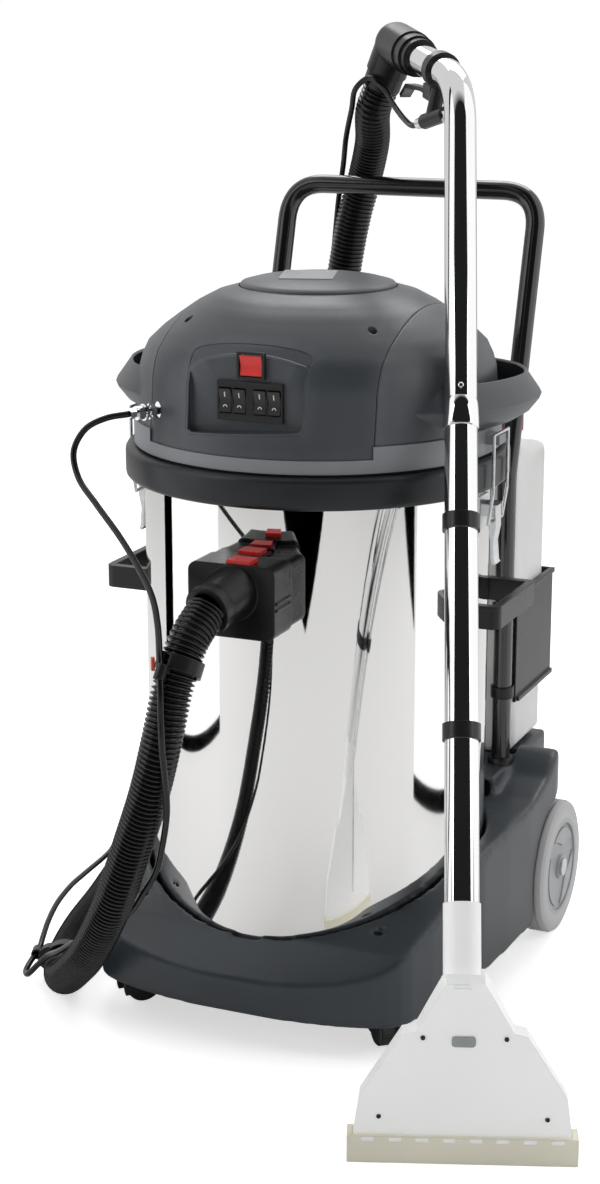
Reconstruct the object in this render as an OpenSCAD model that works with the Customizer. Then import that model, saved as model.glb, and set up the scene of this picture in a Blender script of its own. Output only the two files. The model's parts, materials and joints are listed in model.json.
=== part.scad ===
// Spray-extraction carpet cleaner: a wheeled trolley with a round recovery
// drum, a clamped motor head, a rear solution tank, and a floor wand joined
// to the machine by a suction hose and a thin solution hose.
// Millimetres, Z up, the machine's front faces -Y.

/* [Drum] */
// outside radius of the drum
drum_r = 215; // [200:1:225]
// wall thickness of the drum
drum_wall = 1.5; // [1:0.1:3]
// height of the drum's underside
drum_z0 = 118; // [112:1:125]
// outside radius of the bumper ring
ring_r = 238; // [230:1:240]

/* [Head] */
// outside radius of the light band
band_r = 227; // [225:1:230]
// thickness of the head's shells
shell_t = 3; // [2:0.5:4]
// radius of the grip ears about their own axis
wing_r = 186.8; // [180:1:190]

/* [Trolley] */
// outside radius of the rear wheels
wheel_r = 90.3; // [80:0.1:95]
// width of the rear wheels
wheel_w = 38; // [30:1:42]
// radius of the caster wheels
caster_r = 25; // [20:1:28]
// radius of the push handle's tube
handle_r = 12.5; // [10:0.5:15]

/* [Tank] */
// width of the solution tank
tank_w = 370; // [340:2:374]
// height of the tank's shoulder
tank_z = 655; // [600:5:660]

/* [Wand and hoses] */
// outside radius of the wand tube
tube_r = 19; // [16:0.5:20]
// outside diameter of the suction hose
hose_d = 47; // [40:1:50]
// outside diameter of the solution hose
thin_d = 7.5; // [6:0.5:9]
// width of the floor tool's lip
lip_w = 253.6; // [200:0.2:300]

/* [Hidden] */
$fn = 96;
off = [-103, 41, 0];
axle_y = 243;
axle_r = 8;
fit = 0.05;
latch_y = -10;
pivot = [236, 640];
caster_at = [150, -165, 0];
trail = [14, -17, 0];
wing_at = [85, 30, 0];

// wand axis, bend and outlet directions
wa = [262, -205, 624];
wu = [-0.187, 0.477, 0.859] / norm([-0.187, 0.477, 0.859]);
wd = [-0.623, 0.768, 0.149] / norm([-0.623, 0.768, 0.149]);
bend_r = 110;
bend_a = acos(wu * wd);
bend_t = bend_r * tan(bend_a / 2);
wv = wa + wu * (1137 - 624) / wu[2];
pipe_v = [0.2087, 0.8735, -0.4399];
elbow_d = [-0.42, 0.22, -0.88];
elbow_c = wv + wd * 251;
wn = unit([0, 0, -1] + wd * wd[2]);
lip_at = [347, -410, 0];
lip_e = [0.936, 0.352, 0];
lip_n = [0.352, -0.936, 0];
lip_turn = atan2(0.352, 0.936);
neck_d = [-0.19, -0.957, -0.21];
valve_in = [72, 150, 1082];
valve_out = [122, 108, 1097];
valve_d = unit(valve_out - valve_in);
hose_start = [11, -345, 572];
cpl_at = [-134, -181, 761];
cpl_d = [-0.5, -0.866, 0];

// outline of the trolley seen from above, right half, front to rear
plan_half = [[45, -261], [87, -257], [130, -250], [166, -240], [188, -230],
    [201, -219], [209, -203], [220, -160], [232, -90], [241, -34], [247, 50],
    [250, 127], [250, 235], [244, 262], [232, 298]];
// side view of the trolley's body, y and z, clockwise from the front foot
side_body = [[-262, 43], [-262, 84], [-259, 90], [-252, 96], [-234, 114],
    [-215, 132], [-182, 147], [-150, 160], [-78, 190], [-50, 202], [0, 207],
    [100, 211], [150, 216], [200, 229], [222, 243], [240, 252], [256, 253],
    [270, 244], [284, 220], [298, 172], [298, 130], [150, 43]];
side_rear = [[150, 70], [300, 70], [338, 120], [376, 205], [376, 238], [150, 238]];
// head profile, r and z, from the lower edge to the cap seat
dome = [[225, 723], [224, 746], [221, 773], [219, 800], [215, 814], [208, 829],
    [190, 846], [170, 861], [148, 876], [125, 888], [97, 896]];

// route of the suction hose, inlet to wand
hose_pts = [hose_start, [4, -378, 545], [-3, -403, 500], [-12, -415, 440],
    [-30, -412, 375], [-56, -402, 309], [-99, -380, 213], [-156, -334, 127],
    [-202, -288, 78], [-237, -250, 46], [-268, -205, 27], [-293, -150, 23.5],
    [-318, -65, 23.5], [-341, 46, 23.5], [-366, 150, 23.5], [-388, 240, 26],
    [-392, 320, 45], [-362, 385, 95], [-315, 418, 180], [-262, 430, 300],
    [-218, 425, 430], [-180, 415, 570], [-150, 400, 720], [-122, 380, 860],
    [-103, 370, 940], [-84, 362, 996], [-62, 332, 1046], elbow_c + elbow_d * 96,
    elbow_c + elbow_d * 60.3];
// route of the solution hose, quick coupling to valve
thin_pts = [cpl_at + cpl_d * 36, [-177, -222, 756], [-200, -231, 743],
    [-211, -241, 718], [-199, -254, 690], [-164, -275, 664], [-121, -300, 635],
    [-84, -326, 608], [-54, -352, 584], [-31, -384, 561], [-12, -418, 533],
    [-5, -431, 506], [-1, -439, 474], [1, -441, 436], [1, -435, 399],
    [-6, -418, 357], [-22, -398, 308], [-40, -382, 264], [-62, -372, 231],
    [-90, -348, 196], [-130, -318, 160], [-175, -290, 128], [-216, -266, 100],
    [-250, -245, 74], [-274, -229, 58], [-290, -229, 42], [-303, -230, 28],
    [-315, -216, 24], [-320, -194, 28], [-320, -172, 36], [-328, -148, 41],
    [-343, -106, 46], [-357, -57, 50], [-370, 5, 50], [-379, 62, 46],
    [-400, 170, 34], [-424, 250, 26], [-424, 328, 46], [-388, 412, 94],
    [-332, 450, 190], [-276, 462, 330], [-224, 452, 500], [-184, 436, 680],
    [-152, 409, 860], [-131, 381, 960], [-114, 357, 1012], [-98, 327, 1050],
    [-77, 295, 1090], [-60, 267, 1118], [-34, 252, 1132], [-12, 246, 1118],
    [12, 222, 1098], [40, 188, 1083], valve_in - valve_d * 14,
    valve_in - valve_d * 0.3];

function flat(v) = [for (a = v) for (b = a) b];
function mirrored(h) = concat(h, [for (i = [len(h) - 1:-1:0]) [-h[i][0], h[i][1]]]);
function unit(v) = v / norm(v);
function tilt(d) = [0, acos(d[2] / norm(d)), atan2(d[1], d[0])];
function euler(x, y, z) = [atan2(y[2], z[2]), -asin(x[2]), atan2(x[1], x[0])];
function on_axis(z) = wa + wu * (z - wa[2]) / wu[2];
function box_pts(w, h, r) = flat([for (q = [0:3]) [for (a = [0:15:90])
    [((q == 0 || q == 3) ? 1 : -1) * (w / 2 - r) + r * cos(a + 90 * q),
     (q < 2 ? 1 : -1) * (h / 2 - r) + r * sin(a + 90 * q)]]]);
// the tube swept through a route: heading at each ring, and a frame carried along
function at(p, i) = p[max(0, min(len(p) - 1, i))];
function heading(p, i) = unit(at(p, i + 1) - at(p, i - 1));
function carried(v, t) = unit(v - t * (v * t));
function normals(p, i = 0, acc = []) = i == len(p) ? acc
    : normals(p, i + 1, concat(acc, [carried(i == 0 ? [1, 0.2, 0.1] : acc[i - 1],
        heading(p, i))]));

module place() translate(off) children();
module aim(p, d) translate(p) rotate(tilt(d)) children();
module rod(a, b, r, n = 48) aim(a, b - a) cylinder(h = norm(b - a), r = r, $fn = n);
module both() for (s = [0, 1]) mirror([s, 0, 0]) children();
module along_x(x0, x1, y, z) translate([x0, y, z]) rotate([90, 0, 90])
    linear_extrude(x1 - x0) children();
module swept(p, r, n) {
    nn = normals(p);
    m = len(p);
    pts = flat([for (i = [0:m - 1]) let(t = heading(p, i), a = nn[i], b = cross(t, a))
        [for (k = [0:n - 1]) p[i] + r * (a * cos(360 * k / n) + b * sin(360 * k / n))]]);
    sides = flat([for (i = [0:m - 2]) [for (k = [0:n - 1])
        [i * n + k, i * n + (k + 1) % n, (i + 1) * n + (k + 1) % n, (i + 1) * n + k]]]);
    polyhedron(points = pts, faces = concat([for (f = sides) [f[3], f[2], f[1], f[0]]],
        [[for (k = [0:n - 1]) k]], [[for (k = [n - 1:-1:0]) (m - 1) * n + k]]));
}
// a rod with a round bend in one corner, from a through corner c to b
module cornered(a, c, b, r, bend) {
    u = unit(c - a);
    w = unit(b - c);
    turn = acos(u * w);
    cut = bend * tan(turn / 2);
    side = unit(w - u * (u * w));
    rod(a, c - u * (cut - 0.5), r);
    rod(c + w * (cut - 0.5), b, r);
    translate(c - u * cut + side * bend) rotate(euler(-side, u, cross(-side, u)))
        rotate_extrude(angle = turn) translate([bend, 0]) circle(r + 0.4, $fn = 48);
}

// ---- trolley ----
module plan_prism(k) linear_extrude(300) polygon(mirrored(plan_half) * k);
module side_prism(p, w) along_x(-w, w, 0, 0) polygon(p);
module arches(x, r) both() translate([x, axle_y, wheel_r]) rotate([0, 90, 0])
    cylinder(h = 60, r = r);
module base_hollow() {
    difference() {
        union() {
            intersection() {
                plan_prism(0.965);
                translate([0, 0, -6]) side_prism(side_body, 300);
            }
            translate([0, -8, -6]) side_prism(side_rear, 182);
        }
        translate([0, 0, 112]) cylinder(h = 200, r = 224);
        arches(208, 103);
        both() translate(caster_at + [0, 0, 62]) cylinder(h = 90, r = 16);
        both() translate([190, axle_y, wheel_r]) rotate([0, 90, 0]) cylinder(h = 25, r = 15);
    }
}
module trolley_base() color("dimgray") place() difference() {
    union() {
        intersection() {
            plan_prism(1);
            side_prism(side_body, 300);
        }
        side_prism(side_rear, 190);
    }
    base_hollow();
    translate([0, 0, drum_z0]) cylinder(h = 200, r = drum_r + 3.5);
    translate([-190, 231, 238]) cube([380, 100, 60]);
    arches(214, 97);
    both() translate([176, 217, 160]) cylinder(h = 100, r = handle_r);
    both() translate(caster_at) cylinder(h = 84, r = 5);
    both() translate([158, -166, 108]) rotate([24, 0, 0]) cylinder(h = 40, r = 9.5, $fn = 6);
    translate([-230, axle_y, wheel_r]) rotate([0, 90, 0]) cylinder(h = 460, r = axle_r);
}
module screws() color("black") place() {
    both() translate([158, -166, 108]) rotate([24, 0, 0]) difference() {
        cylinder(h = 4, r = 7);
        translate([0, 0, 1.5]) cylinder(h = 3, r = 3.2, $fn = 6);
    }
    for (s = [-118, 118]) translate([s, -118, 848]) difference() {
        cylinder(h = 5, r = 5.5);
        translate([0, 0, 3]) cube([1.4, 7, 5], center = true);
        translate([0, 0, 3]) cube([7, 1.4, 5], center = true);
    }
}
module rear_axle() color("silver") place() {
    translate([-259, axle_y, wheel_r]) rotate([0, 90, 0]) cylinder(h = 518, r = axle_r);
    both() translate([258.4, axle_y, wheel_r]) rotate([0, 90, 0]) cylinder(h = 3.6, r = 12);
}

// ---- drum ----
module drum() color("silver") place() difference() {
    rotate_extrude($fn = 160) polygon([[0, drum_z0], [drum_r - 6, drum_z0],
        [drum_r, drum_z0 + 6], [drum_r, 704], [drum_r - drum_wall, 704],
        [drum_r - drum_wall, drum_z0 + 7], [drum_r - 7, drum_z0 + drum_wall],
        [0, drum_z0 + drum_wall]]);
    translate([18, -180, 571.5]) rotate([90, 0, 0]) cylinder(h = 60, r = 24);
}
module drum_ring() color("#2b2d30") place() rotate_extrude($fn = 160)
    polygon([[drum_r, 666], [ring_r - 4, 666], [ring_r - 1, 668], [ring_r, 672],
        [ring_r, 697], [ring_r - 2, 702], [ring_r - 6, 704], [drum_r, 704]]);
module drum_handle() difference() {
    union() {
        translate([200, -72, 506]) cube([52, 144, 28]);
        translate([252, -60, 506]) cube([12, 120, 28]);
        for (y = [-60, 60]) translate([252, y, 506]) cylinder(h = 28, r = 12);
    }
    translate([190, -60, 500]) cube([64, 120, 40]);
    translate([0, 0, 480]) cylinder(h = 80, r = drum_r, $fn = 160);
}
module drum_handle_right() color("black") place() drum_handle();
module drum_handle_left() color("black") place() mirror([1, 0, 0]) drum_handle();

// ---- latches ----
module latch_bracket() {
    difference() {
        translate([205, latch_y - 17, 616]) cube([17, 34, 40]);
        translate([0, 0, 600]) cylinder(h = 80, r = drum_r, $fn = 160);
    }
    for (y = [latch_y - 14, latch_y + 11]) translate([221, y, 633]) cube([20, 3, 14]);
    translate([pivot[0], latch_y - 15, pivot[1]]) rotate([-90, 0, 0]) cylinder(h = 30, r = 3);
}
module latch_brackets() color("silver") place() both() latch_bracket();
module lever() difference() {
    translate([0, latch_y + 10, 0]) rotate([90, 0, 0]) linear_extrude(20)
        polygon([[231.5, 645], [240.5, 645], [240.5, 618], [237, 600], [239, 576],
            [241, 573], [238, 571], [235, 575], [233.5, 600], [231.5, 618]]);
    translate([pivot[0], latch_y - 20, pivot[1]]) rotate([-90, 0, 0])
        cylinder(h = 40, r = 3 + fit);
    translate([pivot[0], latch_y - 20, pivot[1] - 14]) rotate([-90, 0, 0])
        cylinder(h = 40, r = 2 + fit);
}
module bail() {
    low = [pivot[0], latch_y, pivot[1] - 14];
    for (s = [-26, 26]) {
        rod(low + [0, s, 0], [241.5, latch_y + s, 662], 2);
        rod([241.5, latch_y + s, 662], [241.5, latch_y + s, 734], 2);
        for (q = [low + [0, s, 0], [241.5, latch_y + s, 662], [241.5, latch_y + s, 734]])
            translate(q) sphere(2.02, $fn = 24);
    }
    rod(low - [0, 26, 0], low + [0, 26, 0], 2);
    rod([241.5, latch_y - 26, 734], [241.5, latch_y + 26, 734], 2);
}
module latch_lever_right() color("silver") place() lever();
module latch_lever_left() color("silver") place() mirror([1, 0, 0]) lever();
module latch_bail_right() color("silver") place() bail();
module latch_bail_left() color("silver") place() mirror([1, 0, 0]) bail();

// ---- push handle and tank ----
module push_handle() color("#101010") place() {
    low = [176, 217, 632];
    top = [176, 322, 988];
    both() {
        cornered([176, 217, 180], low, low * 0.45 + top * 0.55, handle_r, 80);
        cornered(low * 0.5 + top * 0.5, top, [100, 322, 988], handle_r - 0.5, 50);
        translate([176, 217, 234]) cylinder(h = 12, r = 17);
    }
    rod([-112, 322, 988], [112, 322, 988], handle_r);
}
module tank_holder() color("#161616") place() difference() {
    union() {
        difference() {
            translate([-190, 231, 319]) cube([380, 155, 151]);
            translate([-186, 200, 300]) cube([372, 182, 200]);
        }
        both() for (z = [319, 464]) translate([188, 238, z]) cube([5, 148, 6]);
        both() for (z = [330, 444]) {
            translate([176, 217, z]) cylinder(h = 15, r = handle_r + 3);
            translate([183, 217, z]) cube([5, 20, 15]);
        }
    }
    both() translate([176, 217, 300]) cylinder(h = 200, r = handle_r);
}
module tank_form(w, y0, y1, z0, z1, r) intersection() {
    translate([0, (y0 + y1) / 2, z0]) linear_extrude(z1 - z0)
        polygon(box_pts(w, y1 - y0, r));
    along_x(-w, w, (y0 + y1) / 2, (z0 + z1) / 2) polygon(box_pts(y1 - y0, z1 - z0, r));
    translate([0, y1 + 10, (z0 + z1) / 2]) rotate([90, 0, 0]) linear_extrude(y1 - y0 + 20)
        polygon(box_pts(w, z1 - z0, r));
}
module solution_tank() color("white") place() difference() {
    union() {
        tank_form(tank_w, 235, 370, 238, tank_z, 24);
        translate([140, 290, tank_z - 4]) cylinder(h = 46, r = 24);
    }
    tank_form(tank_w - 6, 238, 367, 241, tank_z - 3, 21);
    translate([140, 290, tank_z - 10]) cylinder(h = 60, r = 21);
}
module tank_cap() color("red") place() translate([140, 290, 0]) difference() {
    union() {
        translate([0, 0, 676]) cylinder(h = 26, r = 30);
        translate([0, 0, 702]) cylinder(h = 5, r1 = 30, r2 = 27);
        for (a = [0:15:345]) rotate(a) translate([29, -1.5, 677]) cube([2.5, 3, 24]);
    }
    translate([0, 0, 670]) cylinder(h = 27.3, r = 24 + fit);
}

// ---- suction inlet ----
module rounded_block(w, h, r, y0, y1, x, z) translate([x, y1, z]) rotate([90, 0, 0])
    linear_extrude(y1 - y0) polygon(box_pts(w, h, r));
module inlet_socket() color("#151515") place() {
    difference() {
        union() {
            rounded_block(106, 80, 8, -248, -195, 17, 571.5);
            translate([-2, -247, 608]) cube([36, 30, 6]);
        }
        translate([2, -243, 608.5]) cube([28, 22, 10]);
        translate([0, 0, 520]) cylinder(h = 110, r = drum_r, $fn = 160);
        translate([18, -180, 571.5]) rotate([90, 0, 0]) cylinder(h = 80, r = 21);
    }
    difference() {
        translate([18, -195, 571.5]) rotate([90, 0, 0]) cylinder(h = 40, r = 23.8);
        translate([18, -180, 571.5]) rotate([90, 0, 0]) cylinder(h = 80, r = 21);
    }
}
module hose_connector() color("#151515") place() {
    difference() {
        union() {
            rounded_block(108, 86, 11, -300, -252, 20, 573);
            for (z = [566, 574]) rounded_block(112, 4, 2, -296, -256, 20, z);
            rounded_block(100, 76, 6, -252, -248, 18, 572);
            intersection() {
                aim(hose_start, -neck_d) cylinder(h = 62, r1 = 27, r2 = 33);
                translate([-100, -400, 480]) cube([200, 110, 200]);
            }
            aim(hose_start, -neck_d) cylinder(h = 14, r = 29);
        }
        translate([12, -296, 609]) cube([30, 24, 20]);
        translate([18, -240, 572]) rotate([90, 0, 0]) cylinder(h = 40, r = 21);
        aim(hose_start + neck_d, -neck_d) cylinder(h = 66, r = 21);
    }
}

module red_tab_front() color("red") place() translate([12.3, -295.7, 612])
    cube([29.4, 23.4, 8]);
module red_tab_rear() color("red") place() translate([2.3, -242.7, 611.5]) cube([27.4, 21.4, 6.5]);

// ---- head ----
module motor_deck() color("#9a9da0") place() difference() {
    union() {
        translate([0, 0, 707]) cylinder(h = 31, r = band_r, $fn = 160);
        both() translate([220, latch_y - 12, 720]) cube([23.5, 24, 11.7]);
    }
    translate([0, 0, 713]) cylinder(h = 40, r = band_r - 6, $fn = 160);
    translate([-143, -260, 723]) cube([286, 260, 40]);
    translate([0, 40, 700]) cylinder(h = 20, r = 34);
}
module head_gasket() color("black") place() translate([0, 0, 704]) difference() {
    cylinder(h = 3, r = 222, $fn = 160);
    translate([0, 0, -1]) cylinder(h = 5, r = 208, $fn = 160);
}
module dome_solid(k) rotate_extrude($fn = 160)
    polygon(concat([[0, dome[0][1] - k]], [for (q = dome) [q[0] - k, q[1] - k * 0.9]],
        [[0, dome[10][1] - k * 0.9]]));
module head_shell() difference() {
    dome_solid(0);
    dome_solid(shell_t);
    translate([0, 0, 880]) cylinder(h = 40, r = 90);
    translate([0, 0, 893]) cylinder(h = 20, r = 97);
}
module pan_outline(g) translate([-3.5, 0, 797]) rotate([90, 0, 0]) linear_extrude(80)
    polygon(concat([[-76 - g, -48], [-70 - g, -54 - g], [71 + g, -45 - g], [76 + g, -38]],
        [for (a = [0:10:180]) [(76 + g) * cos(a), 38 + (14 + g) * sin(a)]]));
module head_cover() color("#4b4f53") place() {
    difference() {
        intersection() {
            head_shell();
            translate([-142.6, -300, 700]) cube([285.2, 600, 300]);
        }
        translate([0, -170, 0]) pan_outline(0);
        aim(cpl_at - cpl_d * 12, cpl_d) cylinder(h = 30, r = 11);
        for (s = [-118, 118]) translate([s, -118, 846]) cylinder(h = 30, r = 5.5);
        translate([0, 214, 760]) rotate([-90, 0, 0]) cylinder(h = 20, r = 11);
        translate([-150, 0, 700]) cube([300, 300, 38]);
    }
    for (s = [-118, 118]) intersection() {
        translate([s, -118, 846]) difference() {
            cylinder(h = 30, r = 7.5);
            translate([0, 0, 2]) cylinder(h = 40, r = 5.5);
        }
        dome_solid(0);
    }
}
module wing_band(r) rotate_extrude(angle = 180, $fn = 160) polygon([[r - 19, 799],
    [r - 2, 775], [r, 771], [r - 2, 766], [r - 13, 752], [r - 31, 741], [r - 31, 745],
    [r - 15.5, 756], [r - 5, 769], [r - 5, 772], [r - 22, 796.5]]);
module wing() intersection() {
    difference() {
        union() {
            translate(wing_at) rotate(180) wing_band(wing_r);
            translate(wing_at + [60, 0, 0]) wing_band(wing_r - 60);
        }
        dome_solid(1.2);
    }
    translate([143.4, -300, 700]) cube([200, 600, 200]);
}
module cheek() {
    intersection() {
        head_shell();
        translate([143.4, -300, 738]) cube([200, 600, 300]);
    }
    wing();
}
module head_cheek_right() color("#5a5e62") place() cheek();
module head_cheek_left() color("#5a5e62") place() mirror([1, 0, 0]) cheek();
module head_cap() color("#55595d") place() rotate_extrude($fn = 96)
    polygon([[0, 893], [95.5, 893], [95.5, 898], [93, 900.5], [78, 904.5],
        [62, 907], [0, 907.5]]);
module switch_pan() color("#3c4043") place() difference() {
    intersection() {
        translate([0, -170, 0]) pan_outline(0);
        dome_solid(0);
        translate([-120, -260, 700]) cube([240, 64, 200]);
    }
    intersection() {
        translate([0, -200, 0]) pan_outline(-3);
        translate([-120, -280, 700]) cube([240, 80, 200]);
    }
    translate([-12, -202, 814.2]) cube([29, 10, 25.6]);
    for (i = [0:3]) translate([rocker_x(i) - 8, -202, 770]) cube([16, 10, 30]);
}
module frame_at(x, z, w, h) translate([x, -206, z]) rotate([-90, 0, 0])
    linear_extrude(6) difference() {
        polygon(box_pts(w, h, 2));
        square([w - 6, h - 6], center = true);
    }
module switch_frames() color("#111111") place() {
    frame_at(2.5, 827, 35, 32);
    difference() {
        translate([-41, -204, 762]) cube([83, 4, 46]);
        for (i = [0:3]) translate([rocker_x(i) - 8, -210, 770]) cube([16, 20, 30]);
    }
}
function rocker_x(i) = [-30.5, -12.5, 13.5, 31.5][i];
module rocker_form(x, z, w, h) translate([x - w / 2, -200, z]) rotate([90, 0, 90])
    linear_extrude(w) polygon([[0, -h / 2], [-5, -h / 2], [-3.2, 0], [-6.5, h / 2], [0, h / 2]]);
module red_rocker() color("red") place() rocker_form(2.5, 827, 27.5, 23.5);
module rocker(i) color("#1b1b1b") place() rocker_form(rocker_x(i), 785, 15, 27.5);
module rocker_1() rocker(0);
module rocker_2() rocker(1);
module rocker_3() rocker(2);
module rocker_4() rocker(3);
module coupling_body() color("silver") place() aim(cpl_at, cpl_d) {
    translate([0, 0, -14]) cylinder(h = 50, r = 5);
    translate([0, 0, -10]) cylinder(h = 4, r = 12);
    translate([0, 0, 2]) cylinder(h = 6, r = 10, $fn = 6);
    translate([0, 0, 28]) cylinder(h = 8, r = 6.5, $fn = 6);
}
module coupling_sleeve() color("silver") place() aim(cpl_at, cpl_d) difference() {
    union() {
        translate([0, 0, 11.5]) cylinder(h = 14, r = 8.5);
        translate([0, 0, 13]) cylinder(h = 3, r = 10);
    }
    cylinder(h = 40, r = 5 + fit);
}
module cord_gland() color("black") place() translate([0, 208, 760]) rotate([-90, 0, 0])
    difference() {
        union() {
            cylinder(h = 32, r = 11);
            translate([0, 0, 17]) cylinder(h = 7, r = 14, $fn = 6);
        }
        translate([0, 0, -1]) cylinder(h = 40, r = 4.5);
    }
module vacuum_motor(s) color("#777777") place() translate([s * 78, 30, 713]) {
    cylinder(h = 30, r = 62);
    translate([0, 0, 30]) cylinder(h = 14, r1 = 62, r2 = 45);
    translate([0, 0, 44]) cylinder(h = 56, r = 45);
    translate([0, 0, 100]) cylinder(h = 10, r = 14);
}
module vacuum_motor_right() vacuum_motor(1);
module vacuum_motor_left() vacuum_motor(-1);
module float_cage() color("#222222") place() translate([0, 40, 0]) difference() {
    union() {
        translate([0, 0, 620]) cylinder(h = 87, r = 40);
        translate([0, 0, 703]) cylinder(h = 4, r = 52);
    }
    translate([0, 0, 624]) cylinder(h = 90, r = 34);
    for (a = [0:45:315]) rotate(a) translate([20, -8, 632]) cube([40, 16, 60]);
}

// ---- hoses ----
module suction_hose() color("#101010") place() swept(hose_pts, hose_d / 2, 12);
module solution_hose() color("#0c0c0c") place() swept(thin_pts, thin_d / 2, 8);
module hose_clip(p, d, q) difference() {
    union() {
        aim(p - unit(d) * 9, d) cylinder(h = 18, r = hose_d / 2 + 3.5);
        aim((p + q) / 2 - unit(d) * 8, d) cylinder(h = 16, r = norm(p - q) / 2 - 3);
        aim(q - unit(d) * 9, d) cylinder(h = 18, r = thin_d / 2 + 3);
    }
    aim(p - unit(d) * 30, d) cylinder(h = 60, r = hose_d / 2 + 0.6);
    aim(q - unit(d) * 30, d) cylinder(h = 60, r = thin_d / 2 + 0.6);
    translate([-500, -500, -20]) cube([1000, 1000, 20]);
}
module hose_clips() color("#141414") place() {
    hose_clip([0, -393, 520], [-5, -23, -42], [-8, -423, 520]);
    hose_clip([-284, -170, 24.5], [-25, 62, -3], [-320, -177, 34]);
}

// ---- wheels ----
module wheel_side(s) translate([s * 239, axle_y, wheel_r]) rotate([0, s * 90, 0]) children();
module hub() difference() {
    union() {
        translate([0, 0, -wheel_w / 2]) cylinder(h = wheel_w - 3, r = 66);
        translate([0, 0, -wheel_w / 2]) cylinder(h = wheel_w, r = 16);
        translate([0, 0, wheel_w / 2 - 3]) difference() {
            cylinder(h = 3, r = 66);
            translate([0, 0, -1]) cylinder(h = 5, r = 60);
        }
        for (a = [0:120:240]) rotate(a) translate([0, 0, wheel_w / 2 - 4])
            linear_extrude(3.4) polygon(concat([for (t = [0:12:96]) [54 * cos(t), 54 * sin(t)]],
                [for (t = [84:-12:12]) let(r = 54 - 25 * sin(t * 180 / 96)) [r * cos(t), r * sin(t)]]));
    }
    translate([0, 0, -wheel_w / 2 - 1]) cylinder(h = wheel_w + 2, r = axle_r + fit);
    translate([0, 0, -wheel_w / 2 - 1]) difference() {
        cylinder(h = 18, r = 58);
        cylinder(h = 20, r = 18);
    }
}
module tyre() rotate_extrude() polygon([[66, -19], [82, -19], [88, -16], [90.3, -11],
    [90.3, -6.5], [88.3, -5.5], [88.3, -3.5], [90.3, -2.5], [90.3, 4.5], [88.3, 5.5],
    [88.3, 7.5], [90.3, 8.5], [90.3, 12], [88, 16.5], [82, 19], [66, 19]]);
module wheel_right() color("#8b8e91") place() wheel_side(1) hub();
module wheel_left() color("#8b8e91") place() wheel_side(-1) hub();
module tyre_right() color("#c8cacc") place() wheel_side(1) tyre();
module tyre_left() color("#c8cacc") place() wheel_side(-1) tyre();
module caster_fork() {
    translate(caster_at + [0, 0, 54]) cylinder(h = 29, r = 5 - fit);
    translate(caster_at + [0, 0, 54]) cylinder(h = 7.6, r = 15);
    intersection() {
        difference() {
            translate(caster_at + trail + [0, 0, caster_r]) rotate([90, 0, -50.5])
                cylinder(h = 27, r = 30, center = true);
            translate(caster_at + trail + [0, 0, caster_r]) rotate([90, 0, -50.5])
                cylinder(h = 21, r = 40, center = true);
        }
        translate(caster_at + [-60, -80, 14]) cube([140, 140, 42]);
    }
    intersection() {
        translate(caster_at + trail + [0, 0, caster_r]) rotate([90, 0, -50.5]) difference() {
            cylinder(h = 27, r = 34, center = true);
            cylinder(h = 40, r = 27.5, center = true);
        }
        translate(caster_at + [-60, -80, 38]) cube([140, 140, 19]);
    }
    translate(caster_at + trail + [0, 0, caster_r]) rotate([90, 0, -50.5])
        cylinder(h = 26, r = 4, center = true);
}
module caster_wheel() translate(caster_at + trail + [0, 0, caster_r]) rotate([90, 0, -50.5])
    difference() {
        union() {
            cylinder(h = 20, r = caster_r - 2, center = true);
            cylinder(h = 16, r = caster_r, center = true);
        }
        cylinder(h = 30, r = 4 + fit, center = true);
    }
module caster_fork_right() color("#161616") place() caster_fork();
module caster_fork_left() color("#161616") place() mirror([1, 0, 0]) caster_fork();
module caster_wheel_right() color("#161616") place() caster_wheel();
module caster_wheel_left() color("#161616") place() mirror([1, 0, 0]) caster_wheel();

// ---- wand ----
module tube(a, b, r, w) difference() {
    rod(a, b, r, 64);
    rod(a - unit(b - a), b + unit(b - a), r - w, 64);
}
module wand_tube_lower() color("silver") place() tube(on_axis(232), on_axis(786), tube_r, 1.5);
module wand_tube_upper() color("silver") place() {
    s = wv - wu * bend_t;
    e = wv + wd * bend_t;
    side = unit(wd - wu * (wu * wd));
    difference() {
        union() {
            rod(on_axis(758), on_axis(794), tube_r + 1.5, 64);
            rod(on_axis(780), s + wu * 0.5, tube_r, 64);
            rod(e - wd * 0.5, wv + wd * 200, tube_r, 64);
            upper_bend(s, side, tube_r + 0.4);
        }
        rod(on_axis(740), on_axis(786), tube_r, 64);
        rod(on_axis(780), s + wu * 0.5, tube_r - 1.5, 64);
        rod(e - wd * 0.5, wv + wd * 210, tube_r - 1.5, 64);
        upper_bend(s, side, tube_r - 1.1);
    }
}
module upper_bend(s, side, r) translate(s + side * bend_r)
    rotate(euler(-side, wu, cross(-side, wu)))
    rotate_extrude(angle = bend_a) translate([bend_r, 0]) circle(r, $fn = 64);
module wand_elbow() color("#131313") place() difference() {
    union() {
        rod(wv + wd * 150, wv + wd * 170, tube_r + 4.5);
        rod(wv + wd * 164, wv + wd * 192, tube_r + 7);
        rod(wv + wd * 186, elbow_c, tube_r + 9);
        translate(elbow_c) sphere(tube_r + 9.1, $fn = 48);
        rod(elbow_c, elbow_c + elbow_d * 40, tube_r + 8);
        rod(elbow_c, elbow_c + elbow_d * 60, tube_r + 6);
    }
    rod(wv + wd * 140, wv + wd * 200, tube_r);
    rod(wv + wd * 190, elbow_c, tube_r - 1.5);
    translate(elbow_c) sphere(tube_r - 1.4, $fn = 48);
    rod(elbow_c, elbow_c + elbow_d * 80, tube_r - 1.5);
}
module top_frame() translate(wv) rotate(euler(wd, wn, cross(wd, wn))) children();
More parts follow.
